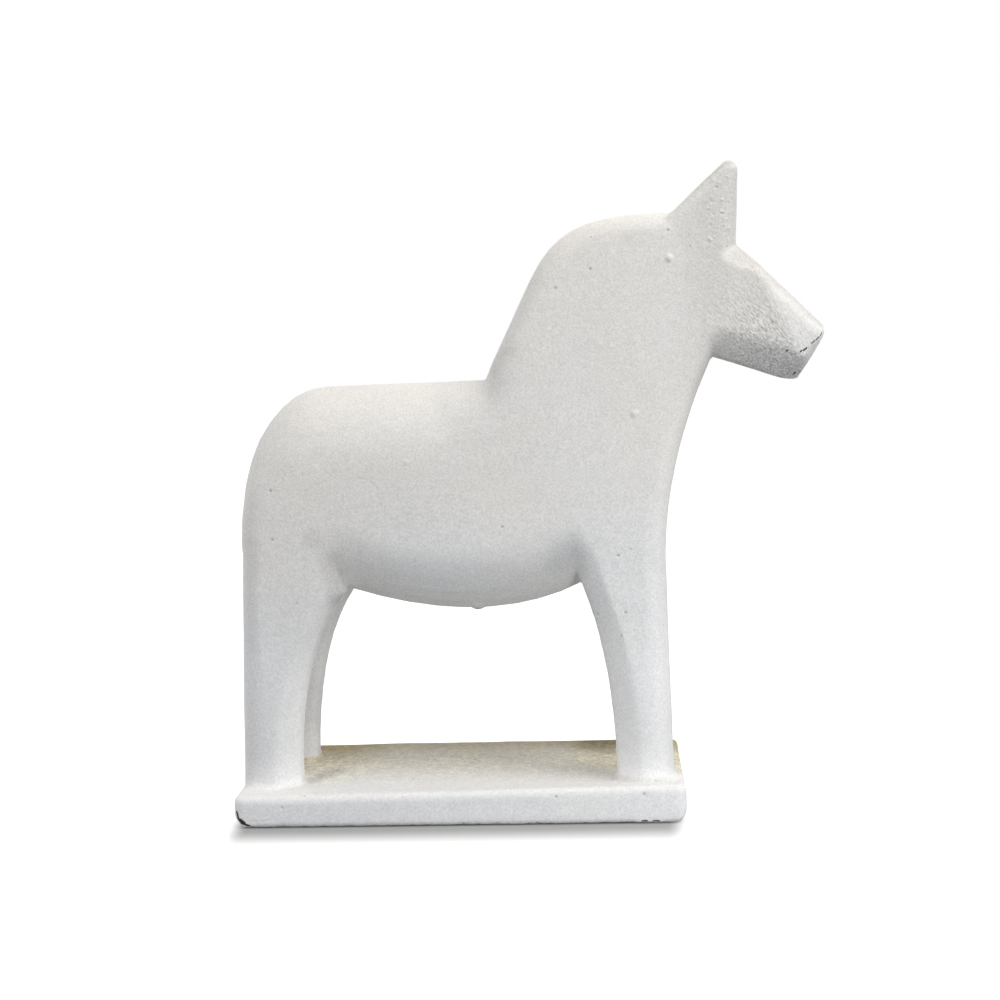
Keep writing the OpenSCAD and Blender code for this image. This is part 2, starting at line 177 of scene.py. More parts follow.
class NodeSheet:
    """Node tree of one finish or of the surroundings, filled by expressions."""

    def __init__(self, tree: bpy.types.NodeTree) -> None:
        """Empties the given tree and starts on it."""
        self.tree = tree
        tree.nodes.clear()

    def node(
        self,
        kind: str,
        settings: dict[str, Any] | None = None,
        sockets: dict[str | int, Any] | None = None,
        out: str | int = 0,
    ) -> Tone:
        """Adds one node.

        Args:
            kind: Blender's name of the node's type.
            settings: Values of the node's own settings, set first.
            sockets: Values of its input sockets, or the tones linked to them.
            out: Output that is handed back.

        Returns:
            The chosen output as a tone.
        """
        made = self.tree.nodes.new(kind)
        for name, value in (settings or {}).items():
            setattr(made, name, value)
        for key, value in (sockets or {}).items():
            if isinstance(value, Tone):
                self.tree.links.new(value.socket, made.inputs[key])
            else:
                made.inputs[key].default_value = value
        return Tone(self, made.outputs[out] if made.outputs else None)

    def place(self) -> Tone:
        """Object coordinates."""
        return self.node("ShaderNodeTexCoord", out="Object")

    def split(self, vector: Tone) -> tuple[Tone, Tone, Tone]:
        """X, Y and Z of a vector."""
        along = self.node("ShaderNodeSeparateXYZ", None, {0: vector})
        return along, along.output("Y"), along.output("Z")

    def noise(self, place: Tone, size: float, detail: float = 2.0) -> Tone:
        """Soft noise whose spots are about the given size in metres, centred on 0."""
        sockets = {"Vector": place, "Scale": 1 / size, "Detail": detail}
        return self.node("ShaderNodeTexNoise", None, sockets, "Fac") - 0.5

    def blend(self, share: Tone, first: Tone | Colour, second: Tone | Colour) -> Tone:
        """Colour between first and second by a share."""
        return self.node("ShaderNodeMix", {"data_type": "RGBA"}, {0: share, 6: first, 7: second}, 2)

    def shaded(self, colour: Tone | Colour, level: Tone) -> Tone:
        """Colour times a level."""
        settings = {"data_type": "RGBA", "blend_type": "MULTIPLY"}
        return self.node("ShaderNodeMix", settings, {0: 1.0, 6: colour, 7: level}, 2)

    def attribute(self, name: str) -> Tone:
        """Value of a vertex attribute of the piece."""
        return self.node("ShaderNodeAttribute", {"attribute_name": name}, None, "Fac")

    def bump(self, height: Tone, depth: float, strength: float) -> Tone:
        """Normal of a surface with fine relief of the given depth in metres."""
        return self.node("ShaderNodeBump", None, {"Strength": strength, "Distance": depth, "Height": height})

    def cover(self, sockets: dict[str | int, Any]) -> None:
        """Ends the sheet of a finish with its surface, whose sockets are given."""
        shader = self.node("ShaderNodeBsdfPrincipled", None, sockets)
        self.node("ShaderNodeOutputMaterial", None, {"Surface": shader})


def new_finish(name: str) -> tuple[bpy.types.Material, NodeSheet]:
    """Makes an empty finish.

    Args:
        name: Name of its material.

    Returns:
        The material, and the sheet of its nodes.
    """
    made = bpy.data.materials.new(name)
    made.use_nodes = True
    return made, NodeSheet(made.node_tree)


@dataclass(frozen=True)
class Band:
    """Change that sets in over a span of a tone."""

    span: Span
    change: float

    def of(self, tone: Tone) -> Tone:
        """The change at each value of the tone."""
        return tone.eased(self.span) * self.change


@dataclass(frozen=True)
class NoiseMix:
    """How strongly the paint's three finer noises count in one of its effects."""

    patch: float = 0.0
    peel: float = 0.0
    grain: float = 0.0


@dataclass(frozen=True)
class Spot:
    """What the paint's shader reads at a point of the casting."""

    sheet: NodeSheet
    place: Tone
    along: Tone
    across: Tone
    height: Tone
    upward: Tone
    cloud: Tone
    patch: Tone
    peel: Tone
    grain: Tone
    bare: Tone
    mark_shade: Tone
    head: Tone

    def mixed(self, mix: NoiseMix) -> Tone:
        """Sum of the three finer noises by a mix."""
        return self.patch * mix.patch + self.peel * mix.peel + self.grain * mix.grain


@dataclass(frozen=True)
class HeadTooling:
    """Strokes of the tool that shaped the head in the mould, and painted light and shade on its planes."""

    from_neck: Span = (96 * MM, 116 * MM)
    from_throat: Span = (173 * MM, 188 * MM)
    # shade darkens the whole head; the nose, brow and crown fields set painted highlights and painted shade
    # by facing.
    shade: float = 0.12
    nose_slope: float = 1.93
    nose_line: Span = (484 * MM, 500 * MM)
    nose_along: Span = (132 * MM, 146 * MM)
    nose_facing: Span = (0.1, 0.45)
    nose_light: float = 0.28
    nose_smooth: float = 0.75
    brow: Band = Band((0.08, 0.30), 0.08)
    crown: Band = Band((0.35, 0.75), -0.15)
    jaw_along: Span = (110 * MM, 132 * MM)
    jaw_height: Span = (233 * MM, 208 * MM)
    stroke_size: float = 0.7 * MM
    stroke_detail: float = 3.0
    stroke_stretch: Point = (6.0, 1.0, 1.0)
    stroke_turn: float = math.radians(44.5)
    head_strokes: float = 0.22
    jaw_strokes: float = 1.7

    def mask(self, along: Tone, height: Tone) -> Tone:
        """Mask of the head, from the neck forwards and from the throat up."""
        return along.eased(self.from_neck) * height.eased(self.from_throat)

    def strokes(self, spot: Spot) -> Tone:
        """Fine strokes along the face, strongest on the jaw.

        Args:
            spot: What the shader reads.

        Returns:
            Uneven tone, centred on 0.
        """
        turned = spot.sheet.node(
            "ShaderNodeMapping",
            {"vector_type": "TEXTURE"},
            {"Vector": spot.place, "Rotation": (0.0, self.stroke_turn, 0.0), "Scale": self.stroke_stretch},
        )
        jaw = spot.height.eased(self.jaw_height) * spot.along.eased(self.jaw_along)
        jaw = jaw * (1.0 - self._nose(spot) * self.nose_smooth)
        strength = spot.head * (self.head_strokes + jaw * self.jaw_strokes)
        return spot.sheet.noise(turned, self.stroke_size, self.stroke_detail) * strength

    def light(self, spot: Spot) -> Tone:
        """Painted highlights on the nose and brow, painted shade on the most upward planes, and a darker
        head.

        Args:
            spot: What the shader reads.

        Returns:
            Change of the paint's level.
        """
        facet = self._nose(spot) - spot.upward.eased(self.nose_facing)
        lift = facet * spot.along.eased(self.nose_along) * self.nose_light
        lift = lift + self.brow.of(spot.upward) + self.crown.of(spot.upward)
        return spot.head * (lift - self.shade)

    def _nose(self, spot: Spot) -> Tone:
        """Mask of what lies above a sloping line along the nose."""
        return (spot.height + spot.along * self.nose_slope).eased(self.nose_line)


@dataclass(frozen=True)
class PlinthDustAndShadow:
    """Dusty tint and a painted shadow of the horse on the plinth's top, darker away from its right edge."""

    dust_and_shade: Colour = (0.665, 0.608, 0.445, 1.0)
    dirt_and_shadow: Colour = (0.355, 0.292, 0.150, 1.0)
    facing: Span = (0.1, 0.7)
    height: Span = (23 * MM, 15 * MM)
    # The share below is a painted shadow of the horse with a dusty tint: deeper under the body, near the
    # feet and towards the left edge.
    least: float = 0.06
    deep_across: Span = (-35 * MM, 12 * MM)
    deep_share: float = 0.54
    feet: Band = Band((36 * MM, 66 * MM), 0.26)
    edge: Band = Band((24 * MM, 40 * MM), 0.18)
    uneven: NoiseMix = NoiseMix(patch=1.0, grain=1.6)
    uneven_share: float = 0.15
    uneven_deep: float = 0.35
    shadow_across: Span = (2 * MM, 38 * MM)
    # Painted shade along the left brink of the plinth's top.
    brink: Band = Band((38.5 * MM, 41 * MM), -0.2)
    speckle: NoiseMix = NoiseMix(patch=0.6, peel=1.0, grain=1.5)

    def dust_shade_share(self, spot: Spot) -> Tone:
        """Share of the dusty tint and painted shadow over the paint.

        Args:
            spot: What the shader reads.

        Returns:
            Mask of the dusty tint and painted shadow.
        """
        deep = spot.across.eased(self.deep_across)
        share = self.least + deep * (self.deep_share + self.feet.of(abs(spot.along)))
        share = share + self.edge.of(spot.across)
        share = share + spot.mixed(self.uneven) * (self.uneven_share + deep * self.uneven_deep)
        return spot.upward.eased(self.facing) * spot.height.eased(self.height) * share

    def over(self, paint: Tone, spot: Spot, dust_shade_share: Tone) -> Tone:
        """Paint under a dusty tint and painted shadow, darker in the marks' shade and towards the left edge.
        """
        deep_shade = spot.across.eased(self.shadow_across) | spot.mark_shade
        return spot.sheet.blend(dust_shade_share, paint, spot.sheet.blend(deep_shade, self.dust_and_shade, self.dirt_and_shadow))

    def speckles(self, spot: Spot, dust_shade_share: Tone) -> Tone:
        """Change of the paint's level by speckled dirt, and painted shade along the left brink."""
        return dust_shade_share * (spot.mixed(self.speckle) + self.brink.of(spot.across))


@dataclass(frozen=True)
class PaintedConcrete:
    """Matt white masonry paint on cast concrete, worn through at a few edges."""

    cool_paint: Colour = (0.812, 0.809, 0.808, 1.0)
    warm_paint: Colour = (0.835, 0.815, 0.780, 1.0)
    pale_concrete: Colour = (0.400, 0.395, 0.390, 1.0)
    dark_concrete: Colour = (0.090, 0.090, 0.092, 1.0)
    cloud_size: float = 42 * MM
    patch_size: float = 8 * MM
    peel_size: float = 2.6 * MM
    grain_size: float = 0.85 * MM
    fine_detail: float = 3.0
    warm_clouds: float = 1.6
    warm_height: Band = Band((60 * MM, 170 * MM), 0.75)
    tone: NoiseMix = NoiseMix(patch=0.07, peel=0.08, grain=0.52)
    relief: NoiseMix = NoiseMix(patch=0.6, peel=0.35, grain=0.55)
    worn_relief: float = 0.9
    hollow_shade: float = 0.55
    pinhole_cell: float = 2.6 * MM
    pinhole_pick: Span = (0.975, 0.99)
    pinhole_more: float = 0.05
    pinhole_edge: Span = (0.24, 0.06)
    pinhole_shade: float = 0.25
    pinhole_depth: float = 0.8
    stroke_tone: float = 0.8
    stroke_depth: float = 3.2
    # Painted shade on downward-facing planes and on the shins, painted light low on the legs and plinth.
    underside: Band = Band((-0.15, -0.75), -0.14)
    legs: Band = Band((95 * MM, 60 * MM), 0.07)
    shins: Band = Band((60 * MM, 25 * MM), -0.045)
    shins_above: Span = (13 * MM, 18 * MM)
    mottle: NoiseMix = NoiseMix(patch=1.0, grain=1.0)
    mottle_middle: float = 0.5
    mottle_shade: float = 0.8
    mottle_edge: Span = (0.1, 0.9)
    concrete_shade: float = 0.85
    wear: NoiseMix = NoiseMix(peel=0.7, grain=0.9)
    wear_edge: Span = (0.38, 0.58)
    rough: float = 0.70
    rough_patch: float = 0.10
    rough_worn: float = 0.18
    specular: float = 0.30
    bump_depth: float = 0.22 * MM
    bump_strength: float = 0.55
    head: HeadTooling = HeadTooling()
    dust_and_shade: PlinthDustAndShadow = PlinthDustAndShadow()

    def material(self) -> bpy.types.Material:
        """Makes the material.

        Returns:
            Material for the casting, which reads its wear and the marks' painted shade from vertex
            attributes.
        """
        made, sheet = new_finish("painted_concrete")
        spot = self._spot(sheet)
        pinhole = self._pinholes(spot)
        stroke = self.head.strokes(spot)
        dust_shade_share = self.dust_and_shade.dust_shade_share(spot)
        # Painted light and shade in the level: pits, marks, undersides, shins, lower legs, head planes,
        # plinth brink.
        level = self._level(spot) - pinhole * self.pinhole_shade + stroke * self.stroke_tone
        level = level + self.head.light(spot) + self.dust_and_shade.speckles(spot, dust_shade_share)
        # The plinth's top gets a painted shadow of the horse with a dusty tint.
        paint = sheet.shaded(self.dust_and_shade.over(self._paint(spot), spot, dust_shade_share), level)
        worn = (spot.bare + spot.mixed(self.wear) * spot.bare).eased(self.wear_edge)
        relief = spot.mixed(self.relief) + spot.grain * worn * self.worn_relief
        relief = relief - pinhole * self.pinhole_depth + stroke * self.stroke_depth
        sheet.cover(
            {
                "Base Color": sheet.blend(worn, paint, self._concrete(spot)),
                "Roughness": self.rough + spot.patch * self.rough_patch + worn * self.rough_worn,
                "Specular IOR Level": self.specular,
                "Normal": sheet.bump(relief, self.bump_depth, self.bump_strength),
            }
        )
        return made

    def _spot(self, sheet: NodeSheet) -> Spot:
        """Reads the casting's surface.

        Args:
            sheet: Sheet to work on.

        Returns:
            Place, facing, noises and wear of a point.
        """
        place = sheet.place()
        along, across, height = sheet.split(place)
        return Spot(
            sheet=sheet,
            place=place,
            along=along,
            across=across,
            height=height,
            upward=sheet.split(sheet.node("ShaderNodeNewGeometry", out="Normal"))[2],
            cloud=sheet.noise(place, self.cloud_size),
            patch=sheet.noise(place, self.patch_size, self.fine_detail),
            peel=sheet.noise(place, self.peel_size),
            grain=sheet.noise(place, self.grain_size, self.fine_detail),
            bare=sheet.attribute(BARE),
            mark_shade=sheet.attribute(MARK_SHADE),
            head=self.head.mask(along, height),
        )

    def _paint(self, spot: Spot) -> Tone:
        """Colour of the clean paint, warmer in clouds and higher up."""
        warm = spot.cloud * self.warm_clouds + self.warm_height.of(spot.height)
        return spot.sheet.blend(warm.eased(WHOLE), self.cool_paint, self.warm_paint)

    def _level(self, spot: Spot) -> Tone:
        """Level of the paint: uneven, painted shade in marks, underneath and on shins, painted light low
        down.

        Args:
            spot: What the shader reads.

        Returns:
            Level round 1.
        """
        level = 1.0 + spot.mixed(self.tone) - spot.mark_shade * self.hollow_shade
        level = level + self.underside.of(spot.upward) + self.legs.of(spot.height)
        return level + self.shins.of(spot.height) * spot.height.eased(self.shins_above)

    def _concrete(self, spot: Spot) -> Tone:
        """Colour of the bare concrete.

        Args:
            spot: What the shader reads.

        Returns:
            Mottled grey, with the marks' painted shade.
        """
        mottle = spot.mixed(self.mottle) + self.mottle_middle - spot.mark_shade * self.mottle_shade
        grey = spot.sheet.blend(mottle.eased(self.mottle_edge), self.dark_concrete, self.pale_concrete)
        return spot.sheet.shaded(grey, 1.0 - spot.mark_shade * self.concrete_shade)

    def _pinholes(self, spot: Spot) -> Tone:
        """Pinholes left by air bubbles, denser on the head.

        Args:
            spot: What the shader reads.

        Returns:
            Mask that is 1 in the middle of a pinhole.
        """
        sockets = {"Vector": spot.place, "Scale": 1 / self.pinhole_cell}
        cell = spot.sheet.node("ShaderNodeTexVoronoi", None, sockets)
        pick = spot.sheet.node("ShaderNodeSeparateColor", None, {0: cell.output("Color")})
        chosen = (pick + spot.head * self.pinhole_more).eased(self.pinhole_pick)
        return cell.eased(self.pinhole_edge) * chosen


@dataclass(frozen=True)
class MillSteel:
    """Plain steel from the mill, dull and with a fine grain."""

    name: str
    light: Colour
    dark: Colour
    rough: float
    rough_scale: float = 0.25
    scale_size: float = 3 * MM
    scale_detail: float = 4.0
    scale_contrast: float = 1.8
    scale_middle: float = 0.5
    grain_size: float = 0.4 * MM
    bump_depth: float = 0.05 * MM
    bump_strength: float = 0.3

    def material(self) -> bpy.types.Material:
        """Makes the material.

        Returns:
            Material for a steel node.
        """
        made, sheet = new_finish(self.name)
        place = sheet.place()
        scale = sheet.noise(place, self.scale_size, self.scale_detail)
        bright = (scale * self.scale_contrast + self.scale_middle).eased(WHOLE)
        grain = sheet.noise(place, self.grain_size)
        sheet.cover(
            {
                "Base Color": sheet.blend(bright, self.dark, self.light),
                "Roughness": self.rough + scale * self.rough_scale,
                "Metallic": 1.0,
                "Normal": sheet.bump(grain, self.bump_depth, self.bump_strength),
            }
        )
        return made


@dataclass(frozen=True)
class Mark:
    """One small fault or patch of painted shade, near a point of the surface in millimetres, or on it in
    metres once snapped.
    """

    kind: MarkKind
    near: Point
    radius: float
    depth: float
    shade: float = 0.0
    bare: float = 0.0
    bowl: float = 1.5

    def share(self, distance: float) -> float:
        """Share of the mark at a distance within its radius, in the form of a bowl."""
        return (1 - (distance / self.radius) ** 2) ** self.bowl

    def snapped(self, surface: BVHTree) -> "Mark":
        """The mark moved onto the surface, in metres."""
        near = tuple(surface.find_nearest(Vector(self.near) * MM)[0])
        return replace(self, near=near, radius=self.radius * MM, depth=self.depth * MM)

    def streak(self, end: Point, step: float) -> list["Mark"]:
        """Chain of marks, close enough to read as one stroke.

        Args:
            end: Place of the last mark.
            step: Distance from mark to mark.

        Returns:
            Marks from this one to the last.
        """
        start = Vector(self.near)
        count = max(1, round((Vector(end) - start).length / step))
        return [replace(self, near=tuple(start.lerp(Vector(end), i / count))) for i in range(count + 1)]


@dataclass(frozen=True)
class EarMarks:
    """Rough paint on the right ear, drawn with a fixed seed, in millimetres."""

    seed: int = 11
    count: int = 34
    height: Span = (246.0, 273.0)
    along: Span = (114.5, 125.0)
    side: float = -20.5
    side_height: float = 248.0
    lean: float = 0.09
    kinds: tuple[MarkKind, ...] = (MarkKind.PIT, MarkKind.BLISTER, MarkKind.BLISTER)
    depth: Span = (0.20, 0.42)
    radius: Span = (0.5, 0.9)
    shade: float = 0.16

    def marks(self) -> list[Mark]:
        """Draws the marks.

        Returns:
            Pits and small blisters near the ear's side.
        """
        draw = random.Random(self.seed)
        made = []
        for _ in range(self.count):
            height = draw.uniform(*self.height)
            near = (draw.uniform(*self.along), self.side + (height - self.side_height) * self.lean, height)
            kind = draw.choice(self.kinds)
            depth = draw.uniform(*self.depth)
            radius = draw.uniform(*self.radius)
            pit = kind is MarkKind.PIT
            made.append(Mark(kind, near, radius, -depth if pit else depth, self.shade * pit))
        return made


@dataclass(frozen=True)
class PhotoMarks:
    """Marks at the places where the photograph shows them, in millimetres."""

    blisters: tuple[Mark, ...] = (
        Mark(MarkKind.BLISTER, (97.7, -23.3, 239.7), 2.1, 0.85),
        Mark(MarkKind.BLISTER, (81.0, -30.3, 175.0), 1.9, 0.45),
        Mark(MarkKind.BLISTER, (-17.1, -31.3, 157.4), 1.5, 0.30),
    )
    # The vent nub is a blister with painted shade round it.
    vent_nub: tuple[Mark, ...] = (
        Mark(MarkKind.BLISTER, (9.9, -14.2, 91.0), 4.2, 1.5),
        Mark(MarkKind.PAINTED_SHADE, (9.9, -14.2, 91.0), 4.6, 0.0, 0.40),
    )
    # Painted shadow on the plinth's top by the far front leg, painted shade under the belly's front and on
    # the far rear leg.
    shade_patches: tuple[Mark, ...] = (
        Mark(MarkKind.PAINTED_SHADE, (61.0, 36.0, 14.0), 15.0, 0.0, 0.75),
        Mark(MarkKind.PAINTED_SHADE, (46.0, -27.0, 111.5), 10.0, 0.0, 0.22),
        Mark(MarkKind.PAINTED_SHADE, (-73.0, 12.3, 41.0), 22.0, 0.0, 0.15),
    )
    # Painted shade in the creases where the legs meet the belly, and painted shadow on the plinth's top by
    # the near rear leg.
    shade_smears: tuple[tuple[Mark, Point], ...] = (
        (Mark(MarkKind.PAINTED_SHADE, (-59.0, -32.0, 125.0), 6.5, 0.0, 0.24), (-54.0, -30.0, 117.0)),
        (Mark(MarkKind.PAINTED_SHADE, (-52.5, -30.0, 115.0), 8.0, 0.0, 0.55), (-50.5, -28.0, 100.0)),
        (Mark(MarkKind.PAINTED_SHADE, (54.4, -32.0, 124.0), 5.0, 0.0, 0.20), (56.7, -26.8, 107.0)),
        (Mark(MarkKind.PAINTED_SHADE, (-68.0, -19.0, 14.0), 6.5, 0.0, 0.35), (-60.0, -6.0, 14.0)),
    )
    pit_radius: float = 0.8
    pit_depth: float = 0.6
    pit_shade: float = 0.7
    pits: tuple[Point, ...] = (
        (97.6, -21.3, 251.6), (49.1, -24.8, 229.1), (64.2, -23.7, 236.5), (-77.1, -31.2, 146.7),
        (-77.2, -32.0, 125.4), (72.4, -32.3, 114.4), (74.9, -32.3, 89.6), (72.7, -31.7, 79.5),
        (62.6, -26.6, 88.4), (23.2, -32.0, 128.2), (-66.8, -40.8, 14.0), (-76.6, -43.0, 9.0),
        (42.8, -43.0, 10.4), (80.4, -43.0, 10.5),
    )
    ear: EarMarks = EarMarks()
    chip_depth: float = 0.3
    chip_shade: float = 0.9
    chip_bare: float = 2.0
    chips: tuple[tuple[float, Point, Point], ...] = (
        (0.7, (-97.8, -42.8, 7.2), (-97.0, -43.0, 4.9)),
        (0.7, (-96.8, -43.0, 4.6), (-94.9, -43.0, 2.4)),
        (0.7, (-94.5, -43.0, 2.2), (-91.4, -43.0, 0.9)),
        (0.6, (-95.4, -43.0, 4.0), (-93.6, -43.0, 2.6)),
        (0.75, (79.6, -43.0, 0.9), (81.2, -43.0, 0.8)),
        (0.65, (84.2, -43.0, 0.8), (86.4, -43.0, 0.7)),
        (0.5, (163.0, -12.2, 205.5), (162.4, -12.5, 204.6)),
        (0.45, (161.4, -13.0, 203.8), (160.5, -13.4, 202.8)),
        (0.4, (159.6, -13.7, 202.3), (158.2, -14.0, 201.2)),
        (0.5, (156.0, -14.4, 199.3), (154.9, -14.7, 198.4)),
        (0.4, (153.9, -14.9, 198.2), (153.4, -15.1, 197.7)),
        (0.5, (147.6, -17.0, 198.3), (147.4, -17.0, 198.0)),
        (0.6, (152.6, -8.4, 187.2), (152.0, -7.6, 186.8)),
    )
    scratch_radius: float = 0.5
    scratch_depth: float = 0.10
    scratch_shade: float = 0.16
    scratches: tuple[tuple[Point, Point], ...] = (
        ((-62.1, -31.6, 145.5), (-58.6, -31.6, 148.0)),
        ((-57.0, -31.6, 148.7), (-52.6, -31.6, 150.2)),
        ((-38.2, -31.6, 151.2), (-34.6, -31.6, 150.2)),
        ((-33.4, -31.6, 149.6), (-29.7, -31.6, 145.8)),
        ((132.5, -21.9, 235.4), (133.6, -22.1, 232.2)),
        ((134.2, -22.2, 230.0), (134.8, -22.2, 226.9)),
        ((129.5, -22.0, 233.6), (131.6, -22.0, 232.4)),
        ((-91.0, -43.0, 2.9), (-88.0, -43.0, 3.4)),
        ((-86.0, -43.0, 3.2), (-82.0, -43.0, 3.7)),
    )
    streak_step: float = 0.45

    def marks(self) -> list[Mark]:
        """Lists the marks.

        Returns:
            All marks, with painted shade streaks, chips and scratches as chains.
        """
        made = [*self.blisters, *self.vent_nub, *self.shade_patches]
        for smear, end in self.shade_smears:
            made += smear.streak(end, self.streak_step)
        for near in self.pits:
            made.append(Mark(MarkKind.PIT, near, self.pit_radius, -self.pit_depth, self.pit_shade))
        made += self.ear.marks()
        for radius, start, end in self.chips:
            chip = Mark(MarkKind.CHIP, start, radius, -self.chip_depth, self.chip_shade, self.chip_bare)
            made += chip.streak(end, self.streak_step)
        for start, end in self.scratches:
            scratch = Mark(MarkKind.PIT, start, self.scratch_radius, -self.scratch_depth, self.scratch_shade)
            made += scratch.streak(end, self.streak_step)
        return made


@dataclass(frozen=True)
class ScatteredMarks:
    """Pits and blisters on the sides that no photograph shows, drawn with a fixed seed, in millimetres."""

    seed: int = 11
    spare: int = 4
    least_upward: float = -0.5
    least_left: float = -0.3
    pits: int = 48
    pit_radius: Span = (0.5, 0.9)
    pit_depth: Span = (0.3, 0.55)
    pit_shade: float = 1.0
    blisters: int = 9
    blister_radius: Span = (1.3, 2.0)
    blister_height: Span = (0.3, 0.6)

    def marks(self, shape: Shape) -> list[Mark]:
        """Draws the marks.

        Args:
            shape: The casting's mesh.

        Returns:
            Marks on faces of the left side, the ends and the top.
        """
        draw = random.Random(self.seed)
        faces = [face for face in shape.faces if face.normal.z > self.least_upward]
        spots = draw.choices(faces, [face.calc_area() for face in faces], k=self.spare * self.pits)
        hidden = [face for face in spots if face.normal.y > self.least_left]
        places = [tuple(face.calc_center_median() / MM) for face in hidden]
        made = []
        for near in places[: self.pits]:
            radius = draw.uniform(*self.pit_radius)
            made.append(Mark(MarkKind.PIT, near, radius, -draw.uniform(*self.pit_depth), self.pit_shade))
        for near in places[self.pits : self.pits + self.blisters]:
            radius = draw.uniform(*self.blister_radius)
            made.append(Mark(MarkKind.BLISTER, near, radius, draw.uniform(*self.blister_height)))
        return made


class MarkField:
    """Snapped marks, sorted by their place on the surface."""

    def __init__(self, marks: Sequence[Mark]) -> None:
        """Sorts the given marks.

        Args:
            marks: Marks on the surface, in metres.
        """
        self.marks = marks
        self.reach = max(mark.radius for mark in marks)
        self.tree = KDTree(len(marks))
        for index, mark in enumerate(marks):
            self.tree.insert(Vector(mark.near), index)
        self.tree.balance()

    def at(self, co: Vector) -> tuple[float, float, float]:
        """Adds up the marks at a point.

        Args:
            co: Point of the surface.

        Returns:
            Move along the normal, how dark the point is, and how far its paint is gone.
        """
        move = dark = bare = 0.0
        for _, index, distance in self.tree.find_range(co, self.reach):
            mark = self.marks[index]
            if distance < mark.radius:
                share = mark.share(distance)
                move += share * mark.depth
                dark = max(dark, share * mark.shade)
                bare = max(bare, share * mark.bare)
        return move, dark, min(1.0, bare)


@dataclass(frozen=True)
class SoftArea:
    """Area of both flanks that the mould's maker rubbed smooth, with its bounds in millimetres."""

    along: Span
    height: Span
    passes: int
    rise: float = 0.0
    least_side: float = 0.3

    def rounds(self, shape: Shape) -> list[list[bmesh.types.BMVert]]:
        """Vertices that each smoothing pass takes in.

        Args:
            shape: The casting's mesh, with its normals up to date.

        Returns:
            One list a pass, from a lower bound that rises pass by pass.
        """
        inside = [
            vert
            for vert in shape.verts
            if self.along[0] * MM < vert.co.x < self.along[1] * MM
            and self.height[0] * MM < vert.co.z < self.height[1] * MM
            and abs(vert.normal.y) > self.least_side
        ]
        lows = [(self.height[0] + step * self.rise) * MM for step in range(self.passes)]
        return [[vert for vert in inside if vert.co.z > low] for low in lows]


@dataclass(frozen=True)
class CastingWear:
    """Waves of the mould and the plinth's ragged rim, by size and depth, its raised lip and round ends."""

    waves: tuple[Span, ...] = ((38 * MM, 0.28 * MM), (11 * MM, 0.10 * MM))
    wave_sink: float = 0.3
    base_facing: float = -0.95
    base_height: float = 0.15 * MM
    rim_height: float = 1.3 * MM
    rim_low: float = 0.2 * MM
    rim_depth: float = 0.45 * MM
    rags: tuple[Span, ...] = ((3.4 * MM, 0.8), (1.3 * MM, 0.7))
    rag_reach: float = 2.0
    rag_rise: float = 0.7 * MM
    rag_cut: float = 0.25
    rag_bare: float = 0.22
    rag_bare_spread: float = 0.5
    lip_rise: float = 2.6 * MM
    lip_along: Span = (-90 * MM, 105 * MM)
    lip_across: Span = (-29 * MM, -41 * MM)
    lip_above: Span = (2 * MM, 11 * MM)
    lip_below: Span = (26 * MM, 17 * MM)
    plinth_half: float = 98.75 * MM
    end_round: Span = (9 * MM, 6.5 * MM)

    def at(self, co: Vector, normal: Vector) -> tuple[float, float]:
        """Slow waves of the mould, and the ragged lower rim of the plinth.

        Args:
            co: Point of the surface.
            normal: Way the surface faces there.

        Returns:
            Move along the normal, and how far the paint is gone.
        """
        if normal.z < self.base_facing and co.z < self.base_height:
            return 0.0, 1.0
        move = sum(depth * (noise.noise(co / size) - self.wave_sink) for size, depth in self.waves)
        if co.z >= self.rag_reach * self.rim_height:
            return move, 0.0
        ragged = sum(depth * noise.noise(co / size) for size, depth in self.rags)
        low = smoothstep((self.rim_height, self.rim_low), co.z - ragged * self.rag_rise)
        move -= self.rim_depth * low * max(0.0, self.rag_cut + ragged)
        return move, low * min(1.0, max(0.0, self.rag_bare + self.rag_bare_spread * ragged))

    def raise_lip(self, co: Vector) -> None:
        """Raises the plinth's right top edge towards the toes, as the pour left it.

        Args:
            co: Point of the surface, moved in place.
        """
        share = smoothstep(self.lip_along, co.x) * smoothstep(self.lip_across, co.y)
        share *= smoothstep(self.lip_above, co.z) * smoothstep(self.lip_below, co.z)
        co.z += self.lip_rise * share

    def round_ends(self, co: Vector) -> None:
        """Rounds the lower edge of the plinth's two ends.

        Args:
            co: Point of the surface, moved in place.
        """
        radius = self.end_round[co.x > 0]
        past = abs(co.x) - (self.plinth_half - radius)
        under = radius - co.z
        reach = math.hypot(past, under)
        if past > 0 and under > 0 and reach > radius:
            share = radius / reach
            co.x = math.copysign(self.plinth_half - radius + past * share, co.x)
            co.z = radius - under * share


